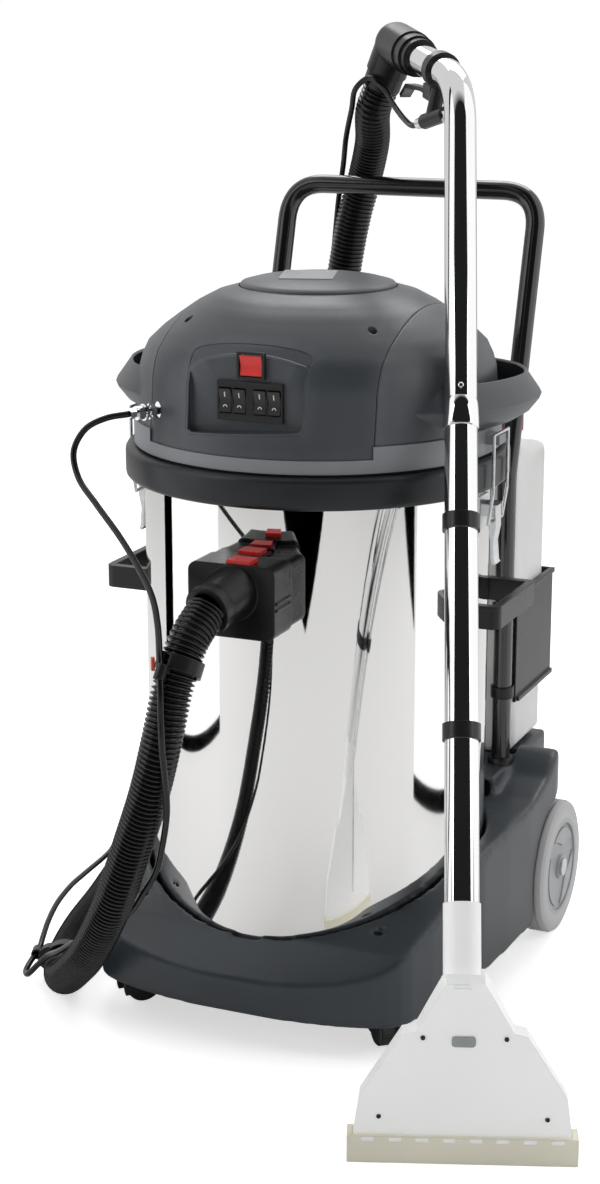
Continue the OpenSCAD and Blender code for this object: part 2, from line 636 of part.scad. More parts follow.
module wand_valve() color("#1a1a1a") place() difference() {
    union() {
        rod(wv + wd * 64, wv + wd * 80, tube_r + 4);
        rod(wv + wd * 72 + wn * 15, (valve_in + valve_out) / 2, 9);
        rod(valve_in * 0.78 + valve_out * 0.22, valve_out, 9.5);
        top_frame() translate([76, 21, -11]) cube([28, 18, 22]);
    }
    rod(wv + wd * 20, wv + wd * 120, tube_r);
    top_frame() translate([88, 15, -7.3]) cube([30, 40, 14.6]);
    top_frame() translate([98, 32, -20]) cylinder(h = 40, r = 2.5);
}
module wand_trigger() color("#1a1a1a") place() top_frame() difference() {
    union() {
        translate([0, 0, -7]) linear_extrude(14) polygon([[95, 29], [128, 31], [186, 38],
            [207, 55], [203, 59], [183, 43], [128, 36], [95, 36]]);
        translate([98, 32, -10.9]) cylinder(h = 21.8, r = 2.5 - fit);
    }
}
module wand_clips() color("#1a1a1a") place() {
    for (z = [453, 661]) difference() {
        union() {
            rod(on_axis(z - 8), on_axis(z + 8), tube_r + 2.5);
            rod(on_axis(z - 8) + pipe_v * 26, on_axis(z + 8) + pipe_v * 26, 7);
        }
        rod(on_axis(z - 30), on_axis(z + 30), tube_r);
        rod(on_axis(z - 30) + pipe_v * 26, on_axis(z + 30) + pipe_v * 26, 4);
    }
}
module solution_pipe() color("silver") place() {
    turn = on_axis(1050) + pipe_v * 26;
    low = on_axis(250) + pipe_v * 26;
    jet = lip_at + lip_e * 9 - lip_n * 20 + [0, 0, 64];
    cornered(low + wu * 30, turn, valve_out, 4, 50);
    cornered(low + wu * 40, low, jet, 4.1, 20);
    rod(valve_out, valve_out + unit(turn - valve_out) * 12, 7.5, 6);
    rod(valve_in * 0.78 + valve_out * 0.22, valve_in, 7);
}
module tool_frame() translate(lip_at) rotate([0, 0, lip_turn]) children();
module fan(g) intersection() {
    translate([0, 60, 0]) rotate([90, 0, 0]) linear_extrude(120)
        polygon([[-120 + g, 20 - g], [-120 + g, 32], [-113 + g, 82], [-67.6 + g, 158 - g],
            [-53.6 + g, 161 - g], [-20.6 + g, 224 + g], [20.6 - g, 224 + g],
            [53.6 - g, 161 - g], [67.6 - g, 158 - g], [113 - g, 82], [120 - g, 32],
            [120 - g, 20 - g]]);
    along_x(-130, 130, 0, 0) polygon([[-9.5 + g, 20 - g], [-15 + g, 82], [-24 + g, 161],
        [-37.2 + g, 224 + g], [4 - g, 224 + g], [0 - g, 161], [3 - g, 82], [6.5 - g, 20 - g]]);
}
module floor_tool() color("#e8eaec") place() {
    difference() {
        union() {
            rod(on_axis(224), on_axis(291), tube_r + 1.6, 64);
            tool_frame() fan(0);
        }
        rod(on_axis(232), on_axis(300), tube_r, 64);
        rod(on_axis(212), on_axis(240), tube_r - 2, 64);
        tool_frame() fan(2.2);
    }
}
module tool_screws() color("#2a2a2a") place() tool_frame() for (s = [-1, 1]) {
    translate([s * 45, -22.7, 155]) rotate([90, 0, 0]) cylinder(h = 2.4, r = 2.6);
    translate([s * 92, -12, 55]) rotate([90, 0, 0]) cylinder(h = 1.8, r = 2.6);
}
module tool_lip() color("#e6e0b8") place() tool_frame() difference() {
    translate([-lip_w / 2, -15, 0]) cube([lip_w, 27, 32]);
    intersection() {
        translate([0, 0, 19]) cube([241, 40, 30], center = true);
        translate([-130, -9.5, 20]) cube([260, 16, 20]);
    }
    translate([-112, -8, -1]) cube([224, 13, 40]);
}

trolley_base();
screws();
rear_axle();
drum();
drum_ring();
drum_handle_right();
drum_handle_left();
latch_brackets();
push_handle();
tank_holder();
solution_tank();
inlet_socket();
hose_connector();
motor_deck();
head_gasket();
head_cover();
head_cheek_right();
head_cheek_left();
head_cap();
switch_pan();
switch_frames();
coupling_body();
cord_gland();
vacuum_motor_right();
vacuum_motor_left();
float_cage();
suction_hose();
solution_hose();
hose_clips();
wheel_right();
wheel_left();
tyre_right();
tyre_left();
caster_fork_right();
caster_fork_left();
caster_wheel_right();
caster_wheel_left();
latch_lever_right();
latch_lever_left();
latch_bail_right();
latch_bail_left();
red_rocker();
rocker_1();
rocker_2();
rocker_3();
rocker_4();
tank_cap();
coupling_sleeve();
red_tab_front();
red_tab_rear();
wand_tube_lower();
wand_tube_upper();
wand_elbow();
wand_valve();
wand_trigger();
solution_pipe();
wand_clips();
floor_tool();
tool_lip();
tool_screws();
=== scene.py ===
import json
import math
import bpy
import numpy as np
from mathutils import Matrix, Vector


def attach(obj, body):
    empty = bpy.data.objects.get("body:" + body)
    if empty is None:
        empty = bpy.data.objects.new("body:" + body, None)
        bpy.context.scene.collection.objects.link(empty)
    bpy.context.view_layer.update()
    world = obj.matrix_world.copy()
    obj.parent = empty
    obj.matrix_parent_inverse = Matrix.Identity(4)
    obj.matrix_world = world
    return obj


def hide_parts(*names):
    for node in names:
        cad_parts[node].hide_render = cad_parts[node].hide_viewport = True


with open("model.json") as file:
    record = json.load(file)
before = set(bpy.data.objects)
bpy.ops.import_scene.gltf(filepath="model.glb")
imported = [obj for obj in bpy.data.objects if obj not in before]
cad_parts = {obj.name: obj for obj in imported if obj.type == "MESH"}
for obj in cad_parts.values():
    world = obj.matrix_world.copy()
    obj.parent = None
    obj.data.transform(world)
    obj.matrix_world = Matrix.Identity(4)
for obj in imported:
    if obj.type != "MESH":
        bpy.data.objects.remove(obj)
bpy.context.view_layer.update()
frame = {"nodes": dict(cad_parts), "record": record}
NODES = frame["nodes"]


DRUM_X, DRUM_Y = -103.0, 41.0  # the drum's axis in the frame, in millimetres


def pt(x, y, z):
    """A point given in the drum-centred millimetres of the CAD source, in the frame's metres."""
    return Vector((x + DRUM_X, y + DRUM_Y, z)) / 1000.0


def unit(*v):
    return Vector(v).normalized()


X, Y, Z = Vector((1, 0, 0)), Vector((0, 1, 0)), Vector((0, 0, 1))


# ---------- camera ----------
HEADING, PITCH = 0.4075, 0.2604  # radians: turned to the left, tipped down
LENS_MM, SENSOR_MM = 69.82, 36.0
cam_data = bpy.data.cameras.new("camera")
cam_data.sensor_fit = "VERTICAL"
cam_data.sensor_height = SENSOR_MM
cam_data.lens = LENS_MM
cam_data.clip_end = 60.0
camera = bpy.data.objects.new("camera", cam_data)
camera.location = pt(1089.0, -2579.0, 1254.4)
camera.rotation_euler = (math.pi / 2 - PITCH, 0.0, HEADING)
bpy.context.scene.collection.objects.link(camera)
bpy.context.scene.camera = camera


# ---------- materials ----------
MIX_FACTOR, MIX_A, MIX_B, MIX_OUT = 0, 6, 7, 2  # sockets of a Mix node that mixes colours


def node(tree, kind, **inputs):
    """A new node with the named inputs set; an underscore stands for a space."""
    n = tree.nodes.new(kind)
    for key, value in inputs.items():
        n.inputs[key.replace("_", " ")].default_value = value
    return n


def mix_colour(tree, a=None, b=None):
    """A Mix node for colours, with either colour set."""
    n = tree.nodes.new("ShaderNodeMix")
    n.data_type = "RGBA"
    for slot, colour in ((MIX_A, a), (MIX_B, b)):
        if colour:
            n.inputs[slot].default_value = colour
    return n


def surface(name, color, rough, metal=0.0, var=0.12, grain=90.0, bump=0.06, stretch=(1, 1, 1),
            edge=0.0012, wear=0.25, rough_var=0.12, **extra):
    """Moulded plastic, rubber or metal: mottled colour, uneven gloss, fine grain, soft edges.

    color is linear; var and rough_var are the shares by which colour and roughness wander;
    edge is the radius in metres of the rounding that the shading gives to edges.
    """
    m = bpy.data.materials.new(name)
    m.use_nodes = True
    t = m.node_tree
    link = t.links.new
    b = t.nodes["Principled BSDF"]
    b.inputs["Metallic"].default_value = metal
    for k, v in extra.items():
        b.inputs[k.replace("_", " ")].default_value = v
    co = node(t, "ShaderNodeTexCoord")
    mp = node(t, "ShaderNodeMapping", Scale=stretch)
    link(co.outputs["Object"], mp.inputs["Vector"])
    broad = node(t, "ShaderNodeTexNoise", Scale=9.0, Detail=4.0)
    fine = node(t, "ShaderNodeTexNoise", Scale=grain * 10, Detail=3.0)
    for n in (broad, fine):
        link(mp.outputs[0], n.inputs["Vector"])
    ramp = node(t, "ShaderNodeValToRGB")
    low, high = ramp.color_ramp.elements
    low.position, high.position = 0.3, 0.7
    low.color = [c * (1 - var) for c in color] + [1]
    high.color = [min(1, c * (1 + var)) for c in color] + [1]
    link(broad.outputs[0], ramp.inputs[0])
    geo = node(t, "ShaderNodeNewGeometry")
    worn = node(t, "ShaderNodeMapRange", From_Min=0.52, From_Max=0.6, To_Max=wear)
    mix = mix_colour(t, b=[min(1, c * 1.5 + 0.03) for c in color] + [1])
    link(geo.outputs["Pointiness"], worn.inputs[0])
    link(worn.outputs[0], mix.inputs[MIX_FACTOR])
    link(ramp.outputs[0], mix.inputs[MIX_A])
    link(mix.outputs[MIX_OUT], b.inputs["Base Color"])
    gloss = node(t, "ShaderNodeMapRange", From_Min=0.3, From_Max=0.7,
                 To_Min=rough * (1 - rough_var), To_Max=rough * (1 + rough_var))
    link(broad.outputs[0], gloss.inputs[0])
    link(gloss.outputs[0], b.inputs["Roughness"])
    bmp = node(t, "ShaderNodeBump", Strength=bump, Distance=0.001)
    link(fine.outputs[0], bmp.inputs["Height"])
    if edge:
        bev = t.nodes.new("ShaderNodeBevel")
        bev.samples = 4
        bev.inputs["Radius"].default_value = edge
        link(bev.outputs[0], bmp.inputs["Normal"])
    link(bmp.outputs[0], b.inputs["Normal"])
    return m


MAT = {
    "base_grey": surface("base_grey", (0.034, 0.042, 0.05), 0.36, bump=0.12, edge=0.003),
    "dark_steel": surface("dark_steel", (0.02, 0.02, 0.022), 0.4, metal=0.6),
    "steel": surface("steel", (0.6, 0.61, 0.62), 0.25, metal=1.0, stretch=(1, 1, 12), bump=0.04),
    "polished_steel": surface("polished_steel", (0.89, 0.885, 0.875), 0.035, metal=1.0, var=0.015,
                              bump=0.004, edge=0, wear=0, rough_var=0.5, stretch=(1, 1, 0.1)),
    "ring_dark": surface("ring_dark", (0.013, 0.015, 0.018), 0.34, bump=0.1, edge=0.002,
                         Specular_IOR_Level=0.4),
    "black_plastic": surface("black_plastic", (0.004, 0.004, 0.0045), 0.27, bump=0.06, edge=0.003,
                             Specular_IOR_Level=0.35),
    "black_gloss": surface("black_gloss", (0.008, 0.008, 0.009), 0.16, bump=0.02, edge=0,
                           Coat_Weight=0.6, Coat_Roughness=0.08),
    "tank_white": surface("tank_white", (0.86, 0.87, 0.86), 0.36, var=0.03, bump=0.05, edge=0.003,
                          Subsurface_Weight=0.3, Subsurface_Scale=0.012,
                          Subsurface_Radius=(1, 1, 1)),
    "band_grey": surface("band_grey", (0.2, 0.21, 0.225), 0.4, bump=0.1),
    "gasket_black": surface("gasket_black", (0.006, 0.006, 0.006), 0.7),
    "head_grey": surface("head_grey", (0.05, 0.057, 0.066), 0.36, bump=0.12, edge=0.002),
    "cheek_grey": surface("cheek_grey", (0.075, 0.082, 0.092), 0.4, bump=0.12, edge=0.003),
    "switch_black": surface("switch_black", (0.007, 0.007, 0.008), 0.22, bump=0.03),
    "chrome": surface("chrome", (0.84, 0.845, 0.85), 0.05, metal=1.0, var=0.02, bump=0.006, edge=0,
                      wear=0, rough_var=0.4),
    "motor_alloy": surface("motor_alloy", (0.4, 0.4, 0.41), 0.45, metal=0.9),
    "hose_black": surface("hose_black", (0.004, 0.004, 0.0045), 0.2, bump=0.03, edge=0,
                          Specular_IOR_Level=0.4),
    "thin_black": surface("thin_black", (0.004, 0.004, 0.0045), 0.2, bump=0.03, edge=0,
                          Specular_IOR_Level=0.4),
    "hub_grey": surface("hub_grey", (0.4, 0.41, 0.42), 0.42, bump=0.1, edge=0.002),
    "tyre_grey": surface("tyre_grey", (0.5, 0.5, 0.51), 0.62, bump=0.2),
    "caster_black": surface("caster_black", (0.011, 0.011, 0.012), 0.4),
    "red_plastic": surface("red_plastic", (0.62, 0.012, 0.008), 0.28, bump=0.03, edge=0.0015,
                           Coat_Weight=0.3),
    "wand_black": surface("wand_black", (0.006, 0.006, 0.0065), 0.28, bump=0.05, edge=0.0015,
                          Specular_IOR_Level=0.35),
    # tool_white gives off a faint even white glow (Emission): painted light standing in for light
    # passing through the white plastic
    "tool_white": surface("tool_white", (0.93, 0.935, 0.94), 0.3, var=0.04, bump=0.03, edge=0.002,
                          Subsurface_Weight=0.25, Subsurface_Scale=0.008,
                          Emission_Color=(1, 1, 1, 1), Emission_Strength=0.14,
                          Subsurface_Radius=(1, 1, 1)),
    "lip_cream": surface("lip_cream", (0.9, 0.86, 0.66), 0.45, var=0.05, bump=0.12, edge=0.0015),
}
EXTRA = {
    "label": surface("label_grey", (0.4, 0.42, 0.43), 0.35, bump=0.02),
    "marks": surface("mark_white", (0.75, 0.76, 0.76), 0.5, bump=0.02),
    "orange": surface("tie_orange", (0.7, 0.1, 0.02), 0.35),
    "window": surface("window_grey", (0.35, 0.37, 0.38), 0.2, bump=0.02),
    "seam": surface("seam_black", (0.004, 0.004, 0.004), 0.6),
}


CREASE = 33  # degrees; CAD edges sharper than this stay sharp
SAME_POINT = 0.00002  # metres; CAD vertices nearer than this are one


def paint(o, m):
    o.data.materials.clear()
    o.data.materials.append(m)


def shade(o, angle=35.0):
    """Smooth shading with sharp edges above the angle; no vertex moves."""
    bpy.ops.object.select_all(action="DESELECT")
    o.select_set(True)
    bpy.context.view_layer.objects.active = o
    bpy.ops.object.shade_smooth_by_angle(angle=math.radians(angle))


SLOT_OF = {s["node"]: s["material_slot"] for s in frame["record"]["subparts"]}
for name, o in NODES.items():
    paint(o, MAT[SLOT_OF[name]])
    o.data.shade_smooth()
    o.modifiers.new("weld", "WELD").merge_threshold = SAME_POINT
    o.modifiers.new("split", "EDGE_SPLIT").split_angle = math.radians(CREASE)


def piece(name, verts, faces, slot, body="machine", mat=None, angle=35.0):
    """A visible mesh that rides on a body, in the look of a CAD slot unless mat is given."""
    me = bpy.data.meshes.new(name)
    me.from_pydata([tuple(v) for v in verts], [], faces)
    me.update()
    me.validate()
    o = bpy.data.objects.new(name, me)
    bpy.context.scene.collection.objects.link(o)
    paint(o, mat or MAT[slot])
    shade(o, angle)
    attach(o, body)
    return o


# ---------- routes and sweeps ----------
def smooth_route(points, step):
    """Centripetal Catmull-Rom curve through the points, sampled evenly."""
    p = [Vector(q) for q in points]
    p = [p[0] * 2 - p[1]] + p + [p[-1] * 2 - p[-2]]
    out = []
    for i in range(1, len(p) - 2):
        a, b, c, d = p[i - 1:i + 3]
        t0 = 0.0
        t1 = t0 + math.sqrt((b - a).length)
        t2 = t1 + math.sqrt((c - b).length)
        t3 = t2 + math.sqrt((d - c).length)
        for k in range(16):
            t = t1 + (t2 - t1) * k / 16
            a1 = a * ((t1 - t) / (t1 - t0)) + b * ((t - t0) / (t1 - t0))
            a2 = b * ((t2 - t) / (t2 - t1)) + c * ((t - t1) / (t2 - t1))
            a3 = c * ((t3 - t) / (t3 - t2)) + d * ((t - t2) / (t3 - t2))
            b1 = a1 * ((t2 - t) / (t2 - t0)) + a2 * ((t - t0) / (t2 - t0))
            b2 = a2 * ((t3 - t) / (t3 - t1)) + a3 * ((t - t1) / (t3 - t1))
            out.append(b1 * ((t2 - t) / (t2 - t1)) + b2 * ((t - t1) / (t2 - t1)))
    out.append(p[-2])
    pts = np.array(out)
    s = np.concatenate([[0], np.cumsum(np.linalg.norm(np.diff(pts, axis=0), axis=1))])
    n = max(2, int(round(s[-1] / step)))
    at = np.linspace(0, s[-1], n + 1)
    return np.stack([np.interp(at, s, pts[:, k]) for k in range(3)], 1), float(s[-1])


def tube(path, radii, sides):
    """Verts and faces of a closed tube along a path, one radius per ring."""
    n = len(path)
    tan = np.gradient(path, axis=0)
    tan /= np.linalg.norm(tan, axis=1)[:, None]
    up = np.array([0.31, 0.2, 0.93])
    verts, faces = [], []
    for i in range(n):
        up = up - tan[i] * up.dot(tan[i])
        up /= np.linalg.norm(up)
        side = np.cross(tan[i], up)
        for k in range(sides):
            a = 2 * math.pi * k / sides
            verts.append(path[i] + radii[i] * (up * math.cos(a) + side * math.sin(a)))
    for i in range(n - 1):
        for k in range(sides):
            q = (k + 1) % sides
            faces.append((i * sides + k, i * sides + q, (i + 1) * sides + q, (i + 1) * sides + k))
    faces.append(tuple(range(sides))[::-1])
    faces.append(tuple((n - 1) * sides + k for k in range(sides)))
    return verts, faces


# ---------- cords ----------
ELBOW_C = pt(-5.76, 273.0, 1174.1)
ELBOW_D = Vector((-0.42, 0.22, -0.88))
HOSE = [pt(*q) for q in (
    (11, -345, 572), (4, -378, 545), (-3, -403, 500), (-12, -415, 440), (-30, -412, 375),
    (-56, -402, 309), (-99, -380, 213), (-156, -334, 127), (-202, -288, 78), (-237, -250, 46),
    (-268, -205, 27), (-293, -150, 23.5), (-318, -65, 23.5), (-341, 46, 23.5),
    (-366, 150, 23.5), (-388, 240, 26), (-392, 320, 45), (-362, 385, 95), (-315, 418, 180),
    (-262, 430, 300), (-218, 425, 430), (-180, 415, 570), (-150, 400, 720), (-122, 380, 860),
    (-103, 370, 940), (-84, 362, 996), (-62, 332, 1046))]
HOSE += [ELBOW_C + ELBOW_D * 0.096, ELBOW_C + ELBOW_D * 0.0603]
COUPLING = pt(-134, -181, 761)
COUPLING_D = Vector((-0.5, -0.866, 0))
VALVE_IN, VALVE_OUT = pt(72, 150, 1082), pt(122, 108, 1097)
VALVE_D = (VALVE_OUT - VALVE_IN).normalized()
THIN = [COUPLING + COUPLING_D * 0.036] + [pt(*q) for q in (
    (-177, -222, 756), (-200, -231, 743), (-211, -241, 718), (-199, -254, 690),
    (-164, -275, 664), (-121, -300, 635), (-84, -326, 608), (-54, -352, 584),
    (-31, -384, 561), (-12, -418, 533), (-5, -431, 506), (-1, -439, 474), (1, -441, 436),
    (1, -435, 399), (-6, -418, 357), (-22, -398, 308), (-40, -382, 264), (-62, -372, 231),
    (-90, -348, 196), (-130, -318, 160), (-175, -290, 128), (-216, -266, 100),
    (-250, -245, 74), (-274, -229, 58), (-290, -229, 42), (-303, -230, 28), (-315, -216, 24),
    (-320, -194, 28), (-320, -172, 36), (-328, -148, 41), (-343, -106, 46), (-357, -57, 50),
    (-370, 5, 50), (-379, 62, 46), (-400, 170, 34), (-424, 250, 26), (-424, 328, 46),
    (-388, 412, 94), (-332, 450, 190), (-276, 462, 330), (-224, 452, 500), (-184, 436, 680),
    (-152, 409, 860), (-131, 381, 960), (-114, 357, 1012), (-98, 327, 1050),
    (-77, 295, 1090), (-60, 267, 1118), (-34, 252, 1132), (-12, 246, 1118), (12, 222, 1098),
    (40, 188, 1083))]
THIN += [VALVE_IN - VALVE_D * 0.014, VALVE_IN - VALVE_D * 0.0003]

HOSE_R, RIB = 0.0235, 0.006  # outer radius, and the length of one rib, in metres
RIB_PROFILE = (1.0, 0.99, 0.88, 0.82, 0.83, 0.93)
THIN_R, THIN_STEP = 0.00375, 0.006
path, hose_len = smooth_route(HOSE, RIB / len(RIB_PROFILE))
radii = [HOSE_R * RIB_PROFILE[i % len(RIB_PROFILE)] for i in range(len(path))]
suction = piece("hose_ribbed", *tube(path, radii, 28), "hose_black", angle=80)
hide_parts("suction_hose")
thin_path, thin_len = smooth_route(THIN, THIN_STEP)
thin = piece("hose_thin", *tube(thin_path, [THIN_R] * len(thin_path), 12), "thin_black", angle=80)
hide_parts("solution_hose")


# ---------- turned and swept replacements ----------
def lathe(name, profile, slot, node_name, segs=256, at=(0, 0)):
    """A closed ring of revolution about a vertical axis; profile in millimetres (r, z)."""
    verts, faces = [], []
    n = len(profile)
    for k in range(segs):
        a = 2 * math.pi * k / segs
        verts += [pt(at[0] + r * math.cos(a), at[1] + r * math.sin(a), z) for r, z in profile]
    for k in range(segs):
        q = (k + 1) % segs
        for i in range(n):
            j = (i + 1) % n
            faces.append((k * n + i, q * n + i, q * n + j, k * n + j))
    o = piece(name, verts, faces, slot)
    if node_name:
        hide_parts(node_name)
    return o


DRUM_R, DRUM_T, FOOT_R = 215, 1.5, 209
DRUM_FLOOR, DRUM_TOP = 118, 704
# rings close to both ends keep the wall's shading upright all the way
lathe("drum_shell", ((1, DRUM_FLOOR), (FOOT_R, DRUM_FLOOR), (DRUM_R - DRUM_T, 119.5),
                     (DRUM_R, 124), (DRUM_R, 128), (DRUM_R, 700), (DRUM_R, DRUM_TOP),
                     (DRUM_R - DRUM_T, DRUM_TOP), (DRUM_R - DRUM_T, 700),
                     (DRUM_R - DRUM_T, 129), (DRUM_R - DRUM_T, 125), (FOOT_R, 119.6),
                     (1, 119.6)), "polished_steel", "drum")
lathe("bumper_ring", ((215.2, 666), (233, 666), (235.6, 666.7), (237.3, 668.6), (238, 672),
                      (238, 696), (237.5, 699.4), (236, 702), (232, DRUM_TOP),
                      (215.2, DRUM_TOP)), "ring_dark", "drum_ring")


def arc(a, corner, b, bend, n=14):
    """Points from a round a corner to b, with the corner rounded to the bend radius."""
    u, w = (corner - a).normalized(), (b - corner).normalized()
    turn = u.angle(w)
    cut = bend * math.tan(turn / 2)
    start, end = corner - u * cut, corner + w * cut
    out = []
    for k in range(n + 1):
        t = k / n
        out.append(start * (1 - t) ** 2 + corner * 2 * t * (1 - t) + end * t * t)
    return out


def rod(name, points, r, slot, body="machine", replaced=(), sides=32):
    """A round bar or closed tube of radius r along the points."""
    path = np.array([tuple(q) for q in points])
    o = piece(name, *tube(path, [r] * len(path), sides), slot, body, angle=60)
    if replaced:
        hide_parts(*replaced)


def moulded(name, node_name, slot, voxel, rounds):
    """A moulded copy of a CAD node: remeshed finely, then relaxed so that its edges are round."""
    o = bpy.data.objects.new(name, NODES[node_name].data.copy())
    bpy.context.scene.collection.objects.link(o)
    for kind, settings in (("WELD", {}), ("REMESH", {"mode": "VOXEL", "voxel_size": voxel}),
                           ("SMOOTH", {"factor": 0.5, "iterations": rounds})):
        modifier = o.modifiers.new(kind.lower(), kind)
        for key, value in settings.items():
            setattr(modifier, key, value)
    deps = bpy.context.evaluated_depsgraph_get()
    made = bpy.data.meshes.new_from_object(o.evaluated_get(deps))
    o.modifiers.clear()
    o.data = made
    paint(o, MAT[slot])
    shade(o, 70)
    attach(o, "machine")
    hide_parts(node_name)


moulded("base_moulding", "trolley_base", "base_grey", 0.0034, 12)

# push bar: one side runs from its foot to its knee and leans back to the top
BAR_R, KNEE_BEND, TOP_BEND = 0.0125, 0.08, 0.05
FOOT, LOW, TOP = (176, 217, 180), (176, 217, 632), (176, 322, 988)


def side(p, s):
    """The point p of the right side, or of the left one where s is -1."""
    return pt(p[0] * s, p[1], p[2])


bar = [side(FOOT, -1)] + arc(side(FOOT, -1), side(LOW, -1), side(TOP, -1), KNEE_BEND)
bar += arc(side(LOW, -1), side(TOP, -1), side(TOP, 1), TOP_BEND)
bar += arc(side(TOP, -1), side(TOP, 1), side(LOW, 1), TOP_BEND)
bar += arc(side(TOP, 1), side(LOW, 1), side(FOOT, 1), KNEE_BEND) + [side(FOOT, 1)]
rod("push_bar", bar, BAR_R, "black_gloss", replaced=("push_handle",))
for s, tag in ((1, "right"), (-1, "left")):
    lathe("bar_foot_" + tag, ((12.4, 234), (17.5, 234), (17.5, 243), (16, 246), (12.4, 246)),
          "black_plastic", None, 48, (FOOT[0] * s, FOOT[1]))

# ---------- wand tubes ----------
TUBE_R = 0.019
WU = unit(-0.187, 0.477, 0.859)  # up the straight tube
WD = unit(-0.623, 0.768, 0.149)  # back along the bent end
WN = (-Z + WD * WD.z).normalized()  # down from the bent end
WZ = WD.cross(WN)
WA = pt(262, -205, 624)


def on_axis(z):
    """The point of the straight tube's axis at a height in millimetres."""
    return WA + WU * ((z / 1000 - 0.624) / WU.z)


WV = on_axis(1137)
WAND_END = WV + WD * 0.2
WAND_BEND = 0.11
rod("wand_chrome_low", [on_axis(232), on_axis(500), on_axis(786)], TUBE_R, "chrome", "wand",
    ("wand_tube_lower",), 64)
rod("wand_chrome_top", [on_axis(786.2)] + arc(on_axis(786), WV, WAND_END, WAND_BEND, 24)
    + [WAND_END], TUBE_R, "chrome", "wand", ("wand_tube_upper",), 64)


def ring_on(name, a, d, profile, slot, body, segs=64, mat=None):
    """A ring turned about the axis through a along d; profile in millimetres (along, radius)."""
    x = d.orthogonal().normalized()
    y = d.cross(x)
    verts, faces, n = [], [], len(profile)
    for k in range(segs):
        g = 2 * math.pi * k / segs
        for t, r in profile:
            verts.append(a + d * (t / 1000) + (x * math.cos(g) + y * math.sin(g)) * (r / 1000))
    for k in range(segs):
        q = (k + 1) % segs
        for i in range(n):
            j = (i + 1) % n
            faces.append((k * n + i, k * n + j, q * n + j, q * n + i))
    return piece(name, verts, faces, slot, body, mat)


BELL = on_axis(772)
ring_on("wand_bell", BELL, WU, ((-16, 19.05), (-16, 20), (-15, 20.6), (6, 20.8), (12, 20.4),
                                (17, 19.6), (19, 19.05)), "chrome", "wand")


def dot(name, c, d, r, h, slot, body):
    """A small domed button or rivet head on a surface."""
    dome = ((-h, 0.01), (-h, r), (h * 0.6, r), (h * (1 - 0.4 / 3), r * 0.8), (h, r * 0.4),
            (h, 0.01))
    ring_on(name, c, d, dome, slot, body, 24)


BUTTON = (3.2, 2.2, "chrome", "wand")
front_of_wand = (camera.location - BELL).normalized()
front_of_wand = (front_of_wand - WU * front_of_wand.dot(WU)).normalized()
dot("wand_button_low", BELL + front_of_wand * 0.0195 + WU * 0.03, front_of_wand, *BUTTON)
top_side = (WZ * -0.75 + WN * -0.66).normalized()
dot("wand_button_top", WV + WD * 0.115 + top_side * 0.0188, top_side, *BUTTON)


# ---------- small detail ----------
def slab(name, c, right, up, w, h, t, r, slot, body="machine", mat=None, bevel=0.25):
    """A rounded rectangle plate with chamfered face; sizes in millimetres, c is its back."""
    out = right.cross(up).normalized()
    loop = []
    for q in range(4):
        for k in range(6):
            a = math.pi / 2 * (q + k / 5)
            sx = 1 if q in (0, 3) else -1
            sy = 1 if q < 2 else -1
            loop.append((sx * (w / 2 - r) + r * math.cos(a), sy * (h / 2 - r) + r * math.sin(a)))
    verts, faces, n = [], [], len(loop)
    for z, k in ((0, 0), (t - bevel, 0), (t, bevel)):
        for x, y in loop:
            g = math.hypot(x, y)
            x, y = x - k * x / g, y - k * y / g
            verts.append(c + (right * x + up * y + out * z) / 1000)
    for layer in range(2):
        for i in range(n):
            j = (i + 1) % n
            a = layer * n
            faces.append((a + i, a + j, a + n + j, a + n + i))
    faces.append(tuple(range(n))[::-1])
    faces.append(tuple(2 * n + i for i in range(n)))
    return piece(name, verts, faces, slot, body, mat)


DOME = ((221, 773), (219, 800), (215, 814), (208, 829), (190, 846), (170, 861))
PAN_X, PAN_HALF, PAN_ARCH_Z, PAN_ARCH = -3.5, 76, 835, 14  # the arched top of the pan's outline
PAN_FLOOR, BROW_INSET, BROW_T = 200.2, 0.3, 2.5


def dome_r(z):
    """Radius of the dome at a height."""
    return float(np.interp(z, [q[1] for q in DOME], [q[0] for q in DOME]))


def dome_z(r):
    """Height at which the dome has radius r."""
    return float(np.interp(-r, [-q[0] for q in DOME], [q[1] for q in DOME]))


def pan_brow(columns=48, rows=8):
    """The cover's skin above the switch pan, between the pan's floor plane and its arched top."""
    front = []
    for i in range(columns + 1):
        share = math.sin(math.pi * (i / columns - 0.5))
        x = PAN_X + PAN_HALF * share
        top = PAN_ARCH_Z + PAN_ARCH * math.sqrt(max(0, 1 - share ** 2)) + 0.2
        low = min(dome_z(math.hypot(PAN_FLOOR, x)), top - 1)
        for j in range(rows + 1):
            z = low + (top - low) * j / rows
            front.append((x, -math.sqrt((dome_r(z) - BROW_INSET) ** 2 - x * x), z))
    back = [(x, y + BROW_T, z) for x, y, z in front]
    n, w = len(front), rows + 1
    faces = []
    for i in range(columns):
        for j in range(rows):
            a = i * w + j
            faces.append((a, a + w, a + w + 1, a + 1))
            faces.append((n + a, n + a + 1, n + a + w + 1, n + a + w))
    rim = [i * w for i in range(columns + 1)]
    rim += [columns * w + j for j in range(1, w)]
    rim += [i * w + rows for i in range(columns - 1, -1, -1)]
    rim += list(range(rows - 1, 0, -1))
    for k, a in enumerate(rim):
        b = rim[(k + 1) % len(rim)]
        faces.append((a, n + a, n + b, b))
    piece("pan_brow", [pt(*q) for q in front + back], faces, "head_grey")


pan_brow()
LABEL_TURN = math.radians(18)
slab("cap_label", pt(-13, 0, 907.3), Vector((math.cos(LABEL_TURN), math.sin(LABEL_TURN), 0)),
     Vector((-math.sin(LABEL_TURN), math.cos(LABEL_TURN), 0)), 66, 84, 0.8, 4, "band_grey",
     mat=EXTRA["label"])

